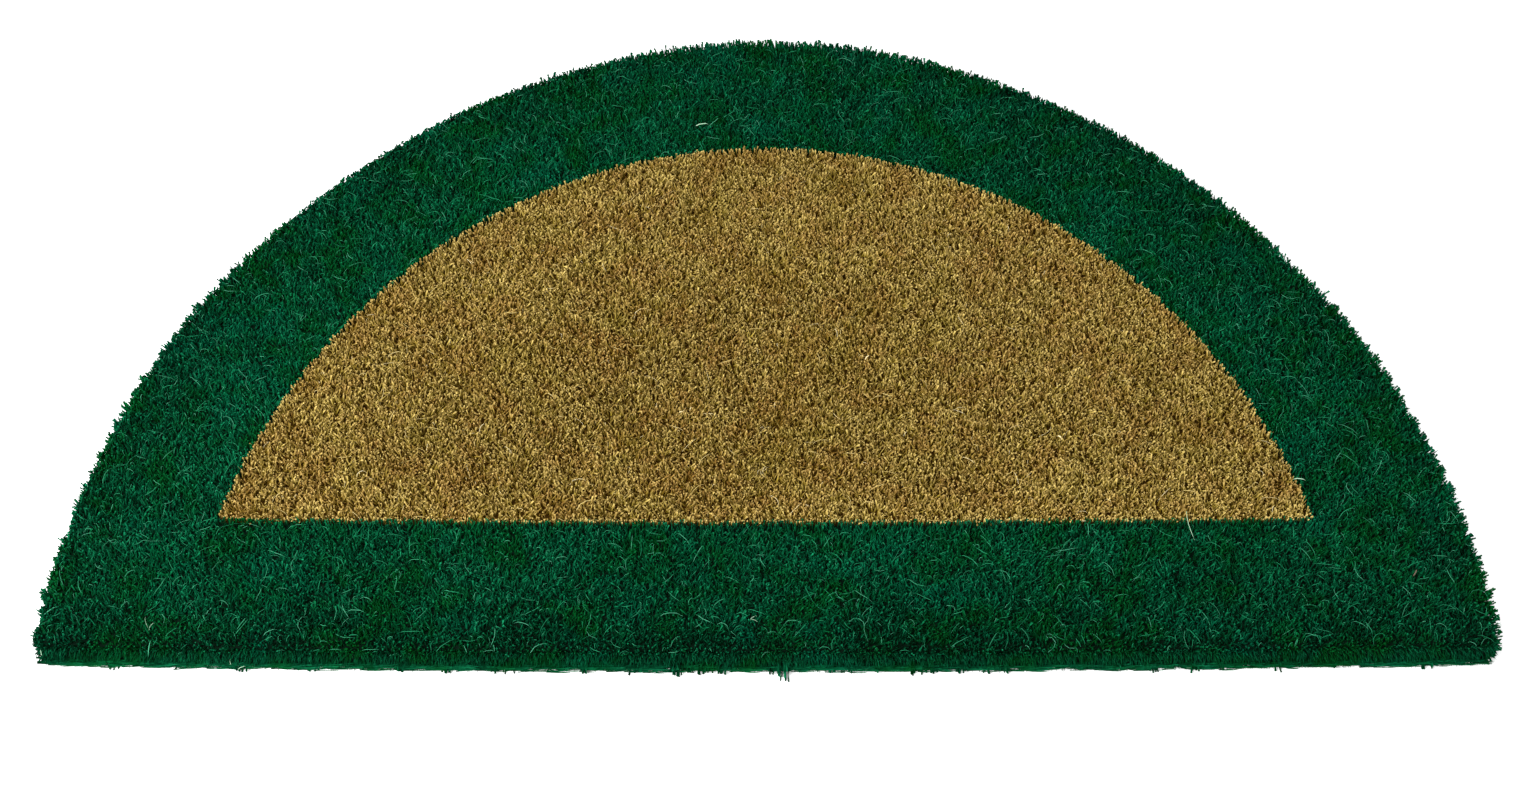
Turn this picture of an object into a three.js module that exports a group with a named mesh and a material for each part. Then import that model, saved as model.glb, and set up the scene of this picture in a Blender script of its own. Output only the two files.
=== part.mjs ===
// Half round doormat of coconut fibre: one short-piled mat that lies flat, with a straight edge at the
// front and a round back. A wide border is dyed green and the half round middle keeps the fibre's own tan.
// Millimetres, +Z up. The origin is on the floor, under the middle of the mat's box.
// +X runs along the straight edge and +Y points to the round back.
import * as THREE from "three";

// The mat over its pile, before the locks at the rim
const HALF_WIDTH = 374;
const ROUND_RISE = 443;
const FRONT_BOW = 4;
const CORNER_RADIUS = 7;
const THICKNESS = 15;

// The undyed middle: its round edge shares the mat's centre, and its straight edge lies further back
const MIDDLE_HALF_WIDTH = 296;
const MIDDLE_RISE = 352;
const MIDDLE_FRONT = 82;
const MIDDLE_BOW = 2.5;
const MIDDLE_CORNER_RADIUS = 3;

// Steps round the outline. The round edge has two steps to a lock of pile.
const ROUND_STEPS = 240;
const FRONT_STEPS = 60;

// Locks of pile at the round rim: how far a lock stands out, and how deep the gap beside it is
const LOCK_OUT = { least: 0.3, most: 2.6 };
const LOCK_IN = { least: 0.2, most: 2.2 };
const FRONT_UNEVEN = 0.6;

// Where the hand-trimmed round edge strays from an even curve: degrees round from the right-hand end, how
// many degrees either side, and how far out or in
const STRAYS = [
  { at: 52, spread: 13, out: -0.9 },
  { at: 87, spread: 11, out: 2.4 },
  { at: 128, spread: 9, out: -2.4 },
  { at: 151, spread: 4, out: 1.0 },
  { at: 168, spread: 5, out: -1.0 },
];

// The side from the floor up: its height, how far it is set back from the rim, and its share of a lock
const SIDE = [
  { height: 0, setBack: 3.2, lock: 0.1, dyed: false }, // underside of the backing
  { height: 3, setBack: 2.8, lock: 0.2, dyed: false }, // top of the backing, where the pile starts
  { height: 7, setBack: 1.2, lock: 0.7, dyed: true }, // the pile leans out
  { height: 11.5, setBack: 0, lock: 1, dyed: true }, // the rim, as wide as the mat gets
  { height: 14, setBack: 2, lock: 0.7, dyed: true }, // the shoulder
];

// The pile's top: rings at shares of the way from the rim to the middle, then rings that shrink evenly to
// the centre. The flat underside has a few such rings too.
const BORDER_SHARES = [0.08, 0.26, 0.44, 0.62, 0.8, 0.98];
const MIDDLE_RINGS = 20;
const UNDERSIDE_RINGS = 4;

// How many of the outline's points make one step of a ring, by the ring's share of its full size. Smaller
// rings take longer steps, so that triangles stay of like size.
const RING_STEPS = [
  { above: 0.95, every: 2 },
  { above: 0.5, every: 4 },
  { above: 0, every: 8 },
];

// Gentle lumps and hollows of the pile's top: two sizes of wave, bent so that they don't line up
const LUMPS = [
  { waveX: 64, waveY: 53, bend: 1.4, depth: 0.9 },
  { waveX: 151, waveY: 127, bend: 2.1, depth: 0.6 },
];
const BEND_WAVES = 2.2;

// The fibre's own colour, and the dye as a tint that multiplies it
const COIR_TAN = new THREE.Color(0x816830);
const DYED_GREEN = new THREE.Color(0x073b22);
const UNDYED = new THREE.Color(1, 1, 1);
const DYE_TINT = new THREE.Color(
  DYED_GREEN.r / COIR_TAN.r,
  DYED_GREEN.g / COIR_TAN.g,
  DYED_GREEN.b / COIR_TAN.b,
);

// Repeatable random numbers from 0 to 1
function seededRandom(seed) {
  let state = seed;
  return () => {
    state = (state * 1664525 + 1013904223) % 4294967296;
    return state / 4294967296;
  };
}
const random = seededRandom(75);
const between = (least, most) => THREE.MathUtils.lerp(least, most, random());

// A closed outline, counter-clockwise from its right-hand corner: a half ellipse over a slightly bowed
// straight line at y = front, with rounded corners
function halfRound({ halfWidth, rise, front, bow, cornerRadius }) {
  const points = [];
  const startAngle = Math.asin((front + cornerRadius) / rise);
  for (let step = 0; step <= ROUND_STEPS; step += 1) {
    const angle = THREE.MathUtils.lerp(startAngle, Math.PI - startAngle, step / ROUND_STEPS);
    points.push(new THREE.Vector2(halfWidth * Math.cos(angle), rise * Math.sin(angle)));
  }
  const cornerX = halfWidth * Math.sqrt(1 - (front / rise) ** 2);
  const cut = cornerRadius * (1 - Math.SQRT1_2);
  points.push(new THREE.Vector2(cut - cornerX, front + cut));
  for (let step = 0; step <= FRONT_STEPS; step += 1) {
    const x = (cornerX - cornerRadius) * ((2 * step) / FRONT_STEPS - 1);
    points.push(new THREE.Vector2(x, front - bow * (1 - (x / cornerX) ** 2)));
  }
  points.push(new THREE.Vector2(cornerX - cut, front + cut));
  return points;
}

// Each point's direction out of a closed outline
function outwards(outline) {
  const count = outline.length;
  return outline.map((_, i) => {
    const before = outline[(i + count - 1) % count];
    const after = outline[(i + 1) % count];
    return new THREE.Vector2(after.y - before.y, before.x - after.x).normalize();
  });
}

// How far the round edge strays from an even curve, so many degrees round from its right-hand end
function strayAt(degrees) {
  const shares = STRAYS.map(({ at, spread, out }) => out * Math.exp(-(((degrees - at) / spread) ** 2)));
  return shares.reduce((sum, share) => sum + share, 0);
}

// How far each point of the rim stands out or in: locks and gaps in turn on the round edge, and a neat,
// nearly straight front
function lockReaches() {
  const round = Array.from({ length: ROUND_STEPS + 1 }, (_, i) =>
    i % 2 ? between(LOCK_OUT.least, LOCK_OUT.most) : -between(LOCK_IN.least, LOCK_IN.most),
  );
  const front = Array.from({ length: FRONT_STEPS + 3 }, () => between(-FRONT_UNEVEN, FRONT_UNEVEN));
  return [...round, ...front];
}

// How far the pile's top lies below the mat's full thickness
function lumpDepth({ x, y }) {
  const turn = 2 * Math.PI;
  let depth = 0;
  for (const lump of LUMPS) {
    const bendX = lump.bend * Math.sin((turn * y) / (lump.waveY * BEND_WAVES));
    const bendY = lump.bend * Math.sin((turn * x) / (lump.waveX * BEND_WAVES));
    const wave = Math.sin((turn * x) / lump.waveX + bendX) * Math.sin((turn * y) / lump.waveY + bendY);
    depth += lump.depth * (0.5 + 0.5 * wave);
  }
  return depth;
}

// The mat's surface as a stack of closed loops, from the middle of the underside, out and up round the
// side, and in again over the top. Each new loop is joined to the one before it.
class LoopSurface {
  constructor() {
    this.positions = [];
    this.colours = [];
    this.triangles = [];
    this.last = [];
  }

  add(points, heightOf, tint) {
    const loop = points.map((point) => {
      this.positions.push(point.x, point.y, heightOf(point));
      this.colours.push(tint.r, tint.g, tint.b);
      return this.positions.length / 3 - 1;
    });
    this.join(this.last, loop);
    this.last = loop;
  }

  // Loops join point to point, two points to one, or all points to a single one
  join(lower, upper) {
    const count = Math.max(lower.length, upper.length);
    const at = (loop, i) => loop[Math.floor((i * loop.length) / count) % loop.length];
    for (let i = 0; lower.length && i < count; i += 1) {
      // A point that stands between two of the shorter loop's points is tied to the first of them
      this.triangle(at(lower, i), at(lower, i + 1), at(upper, i + 1));
      this.triangle(at(lower, i), at(upper, i + 1), at(upper, i));
    }
  }

  triangle(a, b, c) {
    if (a !== b && b !== c && c !== a) this.triangles.push(a, b, c);
  }

  geometry() {
    const geometry = new THREE.BufferGeometry();
    geometry.setAttribute("position", new THREE.Float32BufferAttribute(this.positions, 3));
    geometry.setAttribute("color", new THREE.Float32BufferAttribute(this.colours, 3));
    geometry.setIndex(this.triangles);
    return geometry;
  }
}

const everyNth = (points, n) => points.filter((_, i) => i % n === 0);
const stepsAt = (share) => RING_STEPS.find(({ above }) => share > above).every;

function coirMatGeometry() {
  const outline = halfRound({
    halfWidth: HALF_WIDTH,
    rise: ROUND_RISE,
    front: 0,
    bow: FRONT_BOW,
    cornerRadius: CORNER_RADIUS,
  });
  const middle = halfRound({
    halfWidth: MIDDLE_HALF_WIDTH,
    rise: MIDDLE_RISE,
    front: MIDDLE_FRONT,
    bow: MIDDLE_BOW,
    cornerRadius: MIDDLE_CORNER_RADIUS,
  });
  const out = outwards(outline);
  for (let step = 0; step <= ROUND_STEPS; step += 1) {
    outline[step].addScaledVector(out[step], strayAt((180 * step) / ROUND_STEPS));
  }
  const reaches = lockReaches();
  const centre = new THREE.Vector2(0, (MIDDLE_FRONT + MIDDLE_RISE) / 2);

  // Loops at the side, across the border, and shrunk towards the centre
  const atSide = ({ setBack, lock }) =>
    outline.map((point, i) => point.clone().addScaledVector(out[i], lock * reaches[i] - setBack));
  const acrossBorder = (share) => outline.map((point, i) => point.clone().lerp(middle[i], share));
  const shrunk = (points, share) => points.map((point) => centre.clone().lerp(point, share));

  const floor = () => 0;
  const pileTop = (point) => THICKNESS - lumpDepth(point);

  const surface = new LoopSurface();
  surface.add([centre], floor, UNDYED);
  const underside = atSide(SIDE[0]);
  for (let ring = 1; ring < UNDERSIDE_RINGS; ring += 1) {
    const share = ring / UNDERSIDE_RINGS;
    surface.add(everyNth(shrunk(underside, share), stepsAt(share)), floor, UNDYED);
  }
  for (const level of SIDE) {
    surface.add(atSide(level), () => level.height, level.dyed ? DYE_TINT : UNDYED);
  }
  for (const share of BORDER_SHARES) {
    surface.add(everyNth(acrossBorder(share), stepsAt(1)), pileTop, DYE_TINT);
  }
  for (let ring = MIDDLE_RINGS; ring > 0; ring -= 1) {
    const share = ring / MIDDLE_RINGS;
    surface.add(everyNth(shrunk(middle, share), stepsAt(share)), pileTop, UNDYED);
  }
  surface.add([centre], pileTop, UNDYED);

  const geometry = surface.geometry();
  geometry.computeBoundingBox();
  const box = geometry.boundingBox;
  geometry.translate(-(box.min.x + box.max.x) / 2, -(box.min.y + box.max.y) / 2, 0);
  geometry.computeVertexNormals();
  return geometry;
}

function coirMat() {
  const material = new THREE.MeshStandardMaterial({
    name: "coir pile",
    color: COIR_TAN,
    vertexColors: true,
    roughness: 0.95,
    metalness: 0,
  });
  const mesh = new THREE.Mesh(coirMatGeometry(), material);
  mesh.name = "coir_mat";
  return mesh;
}

const doormat = new THREE.Group();
doormat.name = "half_round_doormat";
doormat.add(coirMat());

export default doormat;
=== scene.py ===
"""The looks of a half round doormat of coconut fibre: its backing, pile, ragged edge and loose fibres."""

import math
from collections import namedtuple

import bpy
import numpy as np
from bpy.props import FloatProperty, FloatVectorProperty, IntProperty, PointerProperty
from bpy.types import Operator, Panel, PropertyGroup
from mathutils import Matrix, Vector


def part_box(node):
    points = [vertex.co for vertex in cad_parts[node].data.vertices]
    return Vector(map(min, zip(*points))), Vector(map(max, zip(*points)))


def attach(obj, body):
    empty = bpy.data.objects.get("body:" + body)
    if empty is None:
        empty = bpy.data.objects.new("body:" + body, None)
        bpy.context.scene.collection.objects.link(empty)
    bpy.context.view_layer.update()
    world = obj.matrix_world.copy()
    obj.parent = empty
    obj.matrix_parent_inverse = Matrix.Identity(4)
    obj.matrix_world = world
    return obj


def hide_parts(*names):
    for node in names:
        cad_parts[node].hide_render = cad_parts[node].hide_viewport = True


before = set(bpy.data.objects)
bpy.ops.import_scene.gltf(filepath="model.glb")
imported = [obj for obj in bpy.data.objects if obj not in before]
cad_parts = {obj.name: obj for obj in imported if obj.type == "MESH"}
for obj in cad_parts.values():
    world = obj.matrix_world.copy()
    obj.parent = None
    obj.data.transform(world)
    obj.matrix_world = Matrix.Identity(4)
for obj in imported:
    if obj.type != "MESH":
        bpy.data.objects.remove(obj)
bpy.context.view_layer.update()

bl_info = {
    "name": "Half Round Doormat",
    "version": (1, 0, 0),
    "blender": (4, 5, 0),
    "location": "3D View > Sidebar > Doormat",
    "description": "Makes a half round coir doormat with a dyed border round a natural middle",
    "category": "Object",
}

LOW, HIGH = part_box("coir_mat")
MAP_NAME = "OFBake"
TURN = 2 * math.pi
MM = 0.001

# The mat's outline, from the solid. In plan, y is counted from the line through the two front corners.
LOCK_REACH = 1.0 * MM
LOCK_REACH_BACK = 4.7 * MM
FRONT_BOW = 4.0 * MM
FRONT_UNEVEN = 0.6 * MM
CORNER_LINE = LOW.y + FRONT_BOW + FRONT_UNEVEN
HALF_WIDTH = (HIGH.x - LOW.x) / 2 - LOCK_REACH
ROUND_RISE = HIGH.y - CORNER_LINE - LOCK_REACH_BACK
THICKNESS = HIGH.z - LOW.z
MAT = {"half_width": HALF_WIDTH, "rise": ROUND_RISE, "front": 0.0, "bow": FRONT_BOW, "corner": 8 * MM}
MIDDLE = {"half_width": 295.5 * MM, "rise": 350.8 * MM, "front": 80.3 * MM, "bow": 2.2 * MM, "corner": 2 * MM}

# The backing's layers: height, how far back from the outline, and how far forward again at the front's foot
BACKING_LEVELS = (
    {"height": 0.0, "set_back": 4.8 * MM, "forward": 3.4 * MM},
    {"height": 0.6 * MM, "set_back": 3.9 * MM, "forward": 3.2 * MM},
    {"height": 3.0 * MM, "set_back": 3.5 * MM, "forward": 1.4 * MM},
    {"height": 8.0 * MM, "set_back": 3.5 * MM, "forward": 0.0},
    {"height": 10.3 * MM, "set_back": 5.0 * MM, "forward": 0.0},
)
BACKING_POINTS = 600
# How far behind the front the backing still comes forward
FORWARD_FADE = 6 * MM
# The outline is found along rays from a place on the middle line, at this share of the rise
OUTLINE_RAYS = 4000
OUTLINE_HALVINGS = 30
OUTLINE_CENTRE = 0.36
# A direction out of the mat belongs to its front when its y is below this
FRONT_FACING = -0.9
ROOTS_TOP = 10.3 * MM
RIM_HEIGHT = 11.5 * MM
RIM_BAND = 0.4 * MM
RIM_WINDOW = math.radians(3)
# The floor lies a hair above the mat's underside, so that the two don't share a plane
FLOOR_RISE = 0.1 * MM

# Where each seeded draw starts
SEEDS = {
    "tufts": 11,
    "pile": 12,
    "clumps": 21,
    "turns": 31,
    "front side": 41,
    "round side": 42,
    "loose dyed": 51,
    "rim": 52,
    "loose natural": 53,
    "foot": 54,
    "front clumps": 61,
    "teeth": 71,
}
TUFT_JITTER = 0.36
CLUMP_JITTER = 0.42

# The solid's lumps: the length of each wave across and along, how much it bends, and its share
LUMP_WAVES = (
    {"x": 64 * MM, "y": 53 * MM, "bend": 1.4, "share": 0.6},
    {"x": 151 * MM, "y": 127 * MM, "bend": 2.1, "share": 0.4},
)
LUMP_BEND_LENGTH = 2.2
LUMP_DEPTH = 0.8 * MM

# Tufts on the top: how far over the solid they end, how deep they are rooted, and how their width varies
TOP_OVER = 0.2 * MM
ROOT_DEPTH = 0.8 * MM
LEAST_WIDTH = 0.75
WIDTH_SPREAD = 0.5
# How far a tuft's place in its height comes from its clump's lot and from its own
CLUMP_UNEVEN = 0.4
OWN_UNEVEN = 0.6
NATURAL_LEAN = 1.1

# The line where the dye ends: how it strays, where it lies, its width, and how calm the pile is beside it
LINE = {"uneven": 0.2 * MM, "inset": 0.7 * MM, "width": 2 * MM, "calm": 4 * MM, "least_lean": 0.15}
# Along it the front's dyed tufts overlap it, more tufts are cut, the natural tufts are lighter with painted
# light where their sides show, and the dyed tufts are darker
LINE_OVERLAP = 0.45 * MM
LINE_CUT = 0.5
LINE_DYED_TONE = -0.1
LINE_NATURAL_PAINTED_LIGHT = 0.12

# The rim of the top: where tufts end, how the lean sets in, how it holds them, and how far they drop
RIM = {"edge": 2.6 * MM, "power": 1.5, "hold": 0.6, "front_drop": 2.6 * MM, "round_drop": 0.9 * MM}
# More tufts are cut there, and those that are have their width back at the round rim
RIM_CUT = 0.2
CUT_WIDTH = 0.64
CUT_RIM_WIDTH = 0.4
# How ragged the round rim's teeth are at the back, where 1 is at the sides, and their lot of middling reach
RAGGED_BACK = 0.22
MIDDLING_TOOTH = 0.6

# Tones of tufts: shares of their own lot and their clump's, and of a few that are much lighter
ToneMix = namedtuple("ToneMix", "own own_power clump light light_power")
TOP_TONES = ToneMix(0.55, 1.3, 0.26, 0.6, 8)
FRONT_TONES = ToneMix(0.55, 1.3, 0.2, 0.3, 6)
ROUND_TONES = ToneMix(0.35, 1, 0, 0.25, 4)

# Broad tone of the middle: where it is darkest, how far that reaches, and how light its front is
MIDDLE_TONE = {"x": -0.1, "y": 165 * MM, "length": 190 * MM, "spread": 0.6, "base": 0.11, "dark": 0.13}
MIDDLE_FRONT_TONE = 0.08
MIDDLE_FRONT_FADE = 22 * MM
# Painted shade on the border: how much darker it is at the rim, the front and the back, and there to the
# right
BORDER_PAINTED_SHADE = {"base": -0.02, "rim": 0.28, "front": 0.06, "back": 0.05}
BORDER_RIGHT_PAINTED_SHADE = {"front": 0.12, "back": 0.08}
BORDER_RIM_FADE = 28 * MM
BORDER_FRONT_FADE = 26 * MM
BORDER_RIGHT_FROM = -0.7
# The back's painted shade sets in and is full at these shares of the rise
BORDER_BACK_FROM = 0.4
BORDER_BACK_FULL = 0.9

# Rows of tufts up the side
LOWEST_ROW = 0.7 * MM
HIGHEST_ROW = 12.6 * MM
LOWEST_TUFT = 0.3 * MM
# How deep they are rooted, and how high: a share of their height and more, within limits
SIDE_ROOT_DEPTH = 5.2 * MM
SIDE_ROOT_SHARE = 0.62
SIDE_ROOT_LIFT = 1.6 * MM
SIDE_ROOT_LOWEST = 1.2 * MM
SIDE_ROOT_COVER = 0.6 * MM
# Up the round side: how uneven tufts are in all and at the ends, and how far aside they lean
ROUND_SIDE = {"middling": 0.4, "uneven": 0.6, "uneven_ends": 2.2, "ends_power": 4, "aside": 0.6 * MM}
ROUND_CUT = 0.6
ROUND_CUT_WIDTH = 0.7
ROUND_WIDTH = 1.1
# Up the front: how far tufts stray aside and up, how uneven they are, and how they droop
FRONT_STRAY = (1.0 * MM, 0.7 * MM)
FRONT_FOOT = 3 * MM
FRONT_FOOT_UNEVEN = 2.2
FRONT_UPPER_UNEVEN = 1.1
FRONT_DROOP = 0.4 * MM
FRONT_LOWEST = 0.5 * MM
# The front is darker than the top with painted shade, and lighter again from this height down with painted
# light from the floor
FRONT_TONE = -0.16
LOW_TONE = 0.3
LOW_TONE_TOP = 5 * MM
# Which clumps at the foot hang out a little, how far at least and more, and how wide their tufts are
HANGING_FROM = 0.88
HANGING_LEAST = 0.3
HANGING_REACH = 0.7
HANGING_WIDTH = 0.8
# Of the small tufts that hang out: how high they go, how much reach is their own, and where ends are broad
HANGING_TOP = 5 * MM
HANGING_OWN = 0.6
HANGING_BROAD_END = 0.3

CURL_POINTS = 5
# How sharply a curl's ends dive into the pile
DIVE_POWER = 4
PLACED_DIVE = 1.5 * MM
PLACED_TONE = 0.6
# Loose fibres: tries for each that is kept, how lengths and tones crowd low, bends, depths and dive
LOOSE_TRIES = 9
LENGTH_POWER = 2.4
LOOSE_TONE_POWER = 2.3
LOOSE_BEND = 0.8
LOOSE_CURLS = (0, 0, 0, 0, 1.8, -1.8)
LOOSE_DEPTHS = (0.2, 1.4)
LOOSE_DIVE = 2.0 * MM
LOOSE_FROM_EDGE = 2 * MM
LOOSE_OVER_LINE = 1 * MM
LOOSE_WIDTHS = (0.7, 1.3)
# Fibres that stick out of the rim: where they start, how they turn, their lengths, heights and bends
RIM_START = 3.5 * MM
RIM_FRONT_TURNS = (1.1, 1.5)
RIM_ROUND_TURN = 0.75
RIM_LENGTHS = (3, 6.5)
RIM_HEIGHTS = (3.0, 13.0)
RIM_BEND = 0.9
RIM_DIVE = 1.4 * MM
RIM_WIDTHS = (0.6, 1.1)
RIM_TONE_POWER = 2.0
# Fibres along the foot: where they end, their lengths, bends, turns, dives and widths, and how far it wanders
FOOT_END = 9 * MM
FOOT_LENGTHS = (7, 15)
FOOT_BENDS = (0.05, 0.4)
FOOT_TURN = 0.05
FOOT_DIVE = 0.4 * MM
FOOT_WIDTHS = (0.7, 1.3)
FOOT_WANDER = 0.6 * MM

# Waves along the foot of the front, from long to short, in radians for each metre
FOOT_WAVES = 9
FOOT_TURNS = TURN / (np.geomspace(60, 4, FOOT_WAVES) * MM)

# The pile's side from the floor up: how far the round is set back, its share of a lock, and the front's reach
SIDE_HEIGHTS = np.array((0.0, 3.0, 7.0, 11.5, 14.0)) * MM
ROUND_SET_BACK = np.array((2.5, 2.3, 1.6, 1.2, 1.5)) * MM
ROUND_LOCK_SHARE = np.array((0.4, 0.55, 0.85, 1.0, 0.9))
FRONT_REACH = np.array((2.1, 1.8, 0.9, 0.0, -1.0)) * MM

# Single fibres that show: their kind, where they start in plan, height, heading, length, bend and radius, in
# millimetres and radians
Fibre = namedtuple("Fibre", "kind x y up heading length bend thick")
PLACED = (
    Fibre("caught", -366, -1, 11, 1.9, 3.5, 0.8, 0.13),
    Fibre("caught", -271, -3, 5, 1.5, 5.0, -1.6, 0.17),
    Fibre("caught", -267, -5, 4, 0.3, 4.0, 0.6, 0.15),
    Fibre("caught", -316, 20, 14, 5.0, 8.0, 0.6, 0.11),
    Fibre("caught", -313, 12, 14, 1.1, 5.0, -0.6, 0.1),
    Fibre("caught", -41, 370, 14.6, 0.1, 7.5, 0.5, 0.26),
    Fibre("caught", -8, 18, 14.2, 0.5, 4.5, 0.1, 0.13),
    Fibre("caught", -8, 18, 14.2, -0.4, 4.5, 0.1, 0.13),
    Fibre("caught", 221, 86, 14.8, -1.5, 20, 0.5, 0.13),
    Fibre("caught", 280, 107, 14.8, -0.2, 6.5, 0.3, 0.24),
    Fibre("husk", 334, 45, 14, 1.0, 4.5, 0.9, 0.34),
    Fibre("pale", 55, 190, 14.5, 0.7, 3.0, 0.3, 0.34),
    Fibre("pale", -47, 152, 14.5, 0.2, 2.6, 0.2, 0.34),
    Fibre("pale", -41, 154, 14.5, 1.0, 2.0, 0.2, 0.24),
    Fibre("pale", 159, 134, 14.5, 2.4, 3.0, 0.3, 0.34),
    Fibre("teal", -361, 28, 12.5, 3.9, 14, 0.5, 0.26),
    Fibre("teal", -364, 20, 11.5, 3.9, 12, 0.7, 0.2),
    Fibre("teal", -311, 6, 14, 4.7, 10, 0.1, 0.22),
)
# Where the pile's round edge strays further than the solid's: degrees round, spread and how far out
STRAYS = (
    {"at": 15, "spread": 14, "out": 0.5 * MM},
    {"at": 45, "spread": 6, "out": -0.4 * MM},
    {"at": 66, "spread": 7, "out": -1.6 * MM},
    {"at": 96, "spread": 8, "out": 0.4 * MM},
    {"at": 116, "spread": 9, "out": -2.0 * MM},
    {"at": 134, "spread": 9, "out": -2.8 * MM},
    {"at": 152, "spread": 6, "out": 0.8 * MM},
    {"at": 172, "spread": 8, "out": -0.7 * MM},
    {"at": 179, "spread": 3, "out": -1.6 * MM},
)
# Fibres along the foot of the front: how many, heights, depths behind the foot's face, radius and tones
FOOT_LAYERS = (
    {"count": 1200, "heights": (0.4, 3.4), "depths": (0.1, 2.0), "thick": 0.27, "tones": (0.2, 0.62)},
    {"count": 1000, "heights": (0.7, 2.8), "depths": (1.0, 6.0), "thick": 0.6, "tones": (0.0, 0.3)},
)
# Small tufts that hang out under the front edge: where along it, how wide and how far
HANGING_TUFTS = (
    {"x": 9 * MM, "half_width": 3.2 * MM, "reach": 5.8 * MM},
    {"x": -44.5 * MM, "half_width": 3.5 * MM, "reach": 2.2 * MM},
)


def srgb(red, green, blue):
    """A linear colour from its 8-bit screen values."""
    parts = (part / 255 for part in (red, green, blue))
    return tuple(((part + 0.055) / 1.055) ** 2.4 if part > 0.04 else part / 12.92 for part in parts)


def length(name, description, default):
    options = {"unit": "LENGTH", "precision": 5}
    return FloatProperty(name=name, description=description, default=default, **options)


def portion(name, description, default):
    return FloatProperty(name=name, description=description, default=default, subtype="FACTOR")


def amount(name, description, default):
    return FloatProperty(name=name, description=description, default=default)


def whole_number(name, description, default):
    return IntProperty(name=name, description=description, default=default)


def rotation(name, description, default):
    return FloatProperty(name=name, description=description, default=default, subtype="ANGLE")


def location(name, description, default):
    return FloatVectorProperty(name=name, description=description, default=default, subtype="TRANSLATION")


def colour(name, description, default):
    return FloatVectorProperty(name=name, description=description, default=default, subtype="COLOR")


class PileSizes(PropertyGroup):
    """How the pile stands."""

    pitch: length("Tuft spacing", "Between neighbouring tufts", 1.25 * MM)
    clump: length("Clump size", "Between neighbouring clumps of tufts", 3.6 * MM)
    pull: portion("Clump pull", "How far tips draw together in a clump", 0.30)
    lean: length("Lean", "How far a tip strays sideways", 1.9 * MM)
    clump_lean: length("Clump lean", "How far a whole clump leans", 1.9 * MM)
    root: length("Root width", "Radius of a tuft at its root", 0.74 * MM)
    cut_dyed: portion("Cut, dyed", "Share of dyed tufts with a broad end", 0.2)
    cut_natural: portion("Cut, natural", "Share of natural tufts with a broad end", 0.4)
    uneven: length("Unevenness", "How far tips differ in height", 1.9 * MM)
    flare: length("Flare", "How far the pile leans out over the round rim", 0.6 * MM)
    front_flare: length("Front flare", "How far the pile leans out over the front", 1.8 * MM)
    flare_zone: length("Flare zone", "Width of the rim that leans", 10.0 * MM)
    tooth: length("Tooth size", "Between neighbouring teeth at the round rim", 4.2 * MM)
    tooth_depth: length("Tooth depth", "How far teeth differ in reach", 3.4 * MM)
    tooth_pull: portion("Tooth pull", "How far tips draw together in a tooth", 0.55)
    row: length("Side rows", "Between neighbouring rows of tufts up the side", 1.0 * MM)


class LooseSizes(PropertyGroup):
    """Loose fibres that lie on the pile."""

    dyed: whole_number("Dyed fibres", "Fibres that lie on the border", 2700)
    natural: whole_number("Natural fibres", "Fibres that lie on the middle", 600)
    rim: whole_number("Rim fibres", "Fibres that stick out round the edge", 170)
    shortest: length("Shortest", "Length of the shortest loose fibre", 2.0 * MM)
    longest: length("Longest", "Length of the longest loose fibre", 14 * MM)
    thick: length("Thickness", "Radius of a loose fibre", 0.10 * MM)


class MatColours(PropertyGroup):
    """The colours of dyed and natural fibre."""

    dyed_deep: colour("Dyed, deep", "Darkest dyed fibre", srgb(0, 33, 16))
    dyed_light: colour("Dyed, light", "Lightest dyed fibre", srgb(24, 136, 90))
    dyed_yellow: colour("Dyed, yellow", "Dyed fibre where the dye is yellower", srgb(4, 80, 20))
    dyed_teal: colour("Dyed, teal", "Dyed fibre where the dye is bluer", srgb(0, 100, 74))
    dyed_loose: colour("Dyed, loose", "Lightest loose dyed fibre", srgb(84, 168, 132))
    natural_deep: colour("Natural, deep", "Darkest natural fibre", srgb(86, 56, 0))
    natural_light: colour("Natural, light", "Lightest natural fibre", srgb(228, 202, 122))
    natural_red: colour("Natural, red", "Natural fibre where the husk is redder", srgb(150, 96, 44))
    natural_olive: colour("Natural, olive", "Natural fibre where the husk is greener", srgb(126, 112, 30))
    natural_pale: colour("Natural, pale", "Palest bits of husk", srgb(232, 220, 184))
    caught: colour("Caught", "Undyed fibre caught in the border", srgb(196, 220, 190))
    husk: colour("Husk", "A bit of husk caught in the border", srgb(122, 104, 90))
    backing: colour("Backing", "The woven underside", srgb(150, 122, 74))


class StageSettings(PropertyGroup):
    """Camera and light."""

    camera: location("Camera", "Where the camera stands", (0.0002, -0.9512, 1.1220))
    tilt: rotation("Tilt", "Camera's turn up from straight down", math.radians(38.78))
    turn: rotation("Turn", "Camera's turn to the left", -0.0007)
    lens: amount("Lens", "Focal length in millimetres", 61.45)
    sensor: amount("Sensor", "Sensor width in millimetres", 36.0)
    sky: amount("Sky", "Strength of the even white light", 1.05)
    key: amount("Key light", "Power of the large lamp in watts", 30.0)
    key_size: length("Key size", "Width of the large lamp", 0.7)
    key_place: location("Key place", "Where the large lamp stands, turned to the mat", (-1.0, -0.85, 1.0))
    floor: colour("Floor", "Colour of the plain floor", (0.97, 0.97, 0.97))
    floor_size: length("Floor size", "Width of the plain floor", 30.0)
    floor_glow: amount("Floor glow", "Strength of the floor's own light", 0.3)


class DoormatSettings(PropertyGroup):
    """All that a user would change."""

    pile: PointerProperty(type=PileSizes)
    loose: PointerProperty(type=LooseSizes)
    colours: PointerProperty(type=MatColours)
    stage: PointerProperty(type=StageSettings)


def settings():
    return bpy.context.scene.half_round_doormat


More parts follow.
